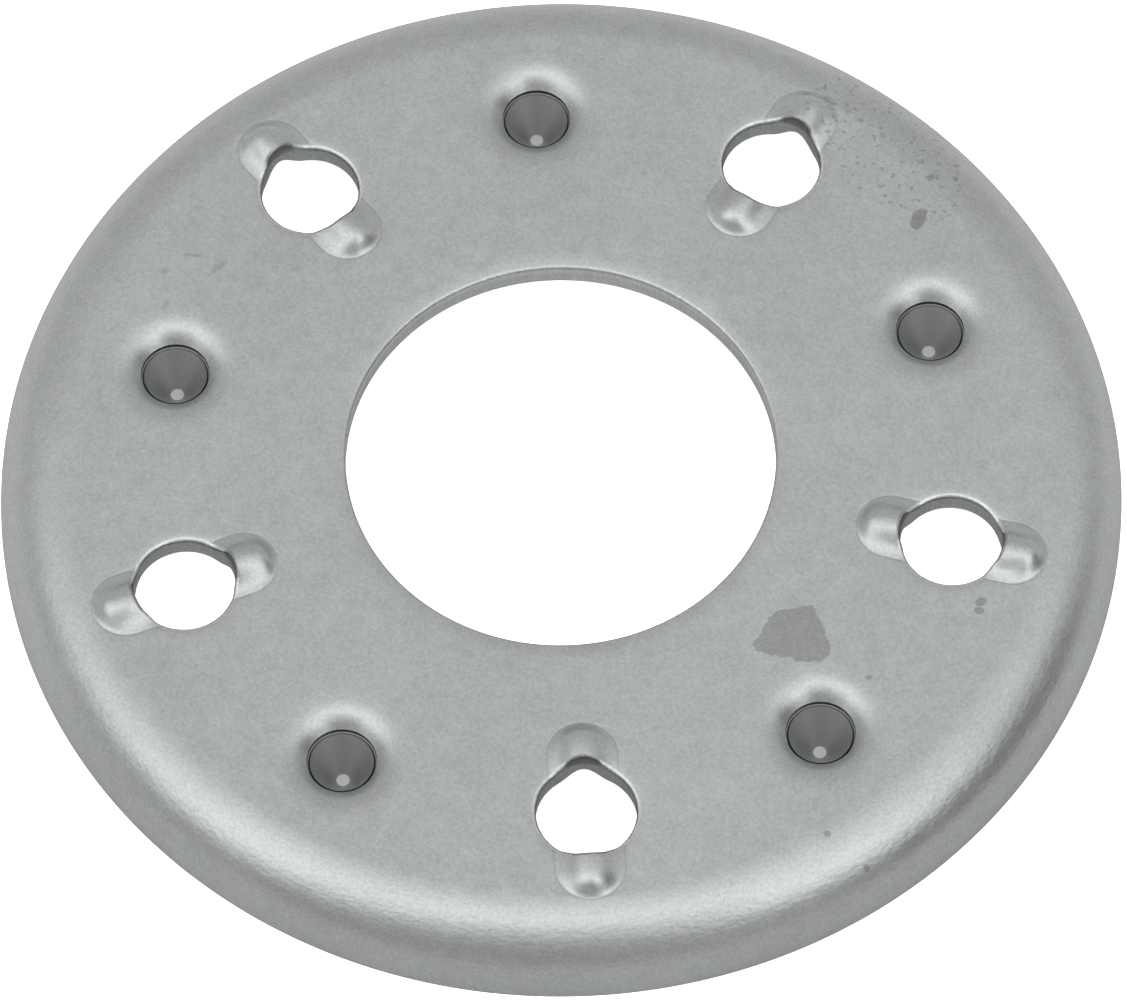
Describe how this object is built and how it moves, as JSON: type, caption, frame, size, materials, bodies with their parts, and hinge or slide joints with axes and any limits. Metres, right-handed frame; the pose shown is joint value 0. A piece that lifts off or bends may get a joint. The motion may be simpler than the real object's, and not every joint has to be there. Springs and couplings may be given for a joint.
{
  "type": "pipe floor flange",
  "caption": "Round pressed steel flange with a centre bore, a curled-down rim, bolt holes on raised radial beads and small conical cups in rolled-in necks.",
  "frame": {"origin": "on the bore axis in the plane of the rim's foot ring", "axes": "+Z along the bore axis, out of the top face; -Y through one bolt hole and +Y through one conical cup"},
  "size_m": [0.127, 0.127, 0.0107],
  "materials": {
    "steel": "satin grey pressed steel with a fine mottled grain and light stains",
    "cup_steel": "darker matt steel, turned"
  },
  "bodies": {
    "root": {"pressed_ring": "steel", "cone_cup_1": "cup_steel", "cone_cup_2": "cup_steel", "cone_cup_3": "cup_steel", "cone_cup_4": "cup_steel", "cone_cup_5": "cup_steel"}
  },
  "joints": []
}
